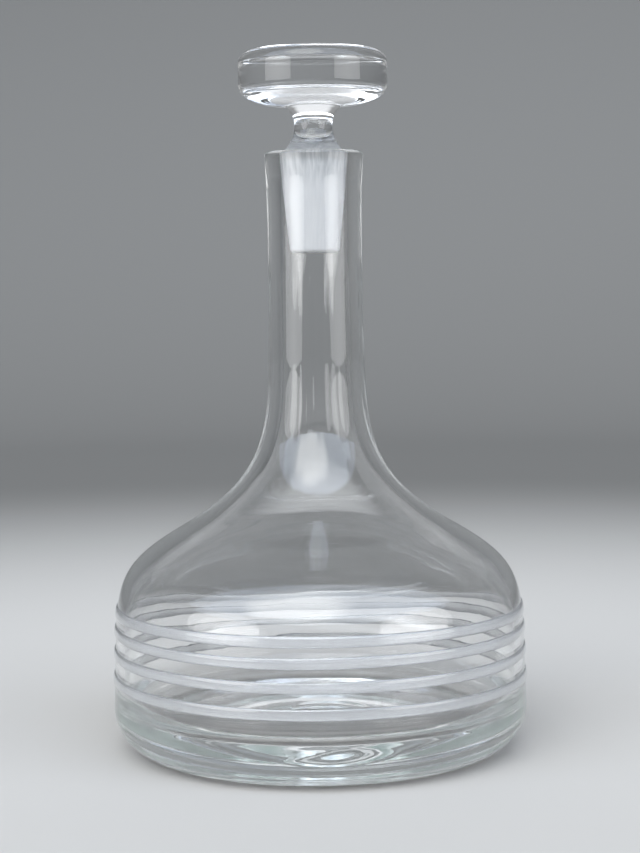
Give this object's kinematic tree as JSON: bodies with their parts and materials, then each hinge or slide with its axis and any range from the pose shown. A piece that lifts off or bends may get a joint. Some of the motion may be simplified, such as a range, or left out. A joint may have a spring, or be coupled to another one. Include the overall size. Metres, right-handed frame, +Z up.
{
  "type": "decanter",
  "caption": "Clear glass decanter with a wide, heavy-based body, satin glass threads round the wall, a sloping shoulder, a tall neck and a lift-out stopper with a disc head.",
  "frame": {"origin": "centre of the flat underside that the decanter stands on", "axes": "+Z up along the axis of the bottle, the neck and the stopper; the part is round, so +X and +Y are free"},
  "size_m": [0.1504, 0.1504, 0.2507],
  "materials": {
    "clear_glass": "clear blown glass with a faint grey-green tint, fire polished",
    "satin_glass": "soft satin glass threads laid on the wall",
    "stopper_glass": "clear polished head and stem, ground white plug"
  },
  "bodies": {
    "bottle": {"decanter_body": "clear_glass", "thread_ring_1": "satin_glass", "thread_ring_2": "satin_glass", "thread_ring_3": "satin_glass", "thread_ring_4": "satin_glass"},
    "stopper": {"stopper": "stopper_glass"}
  },
  "joints": [
    {"name": "stopper_lift", "type": "slide", "parent": "bottle", "child": "stopper", "axis": [0, 0, 1], "range_m": [0, 0.07]}
  ]
}
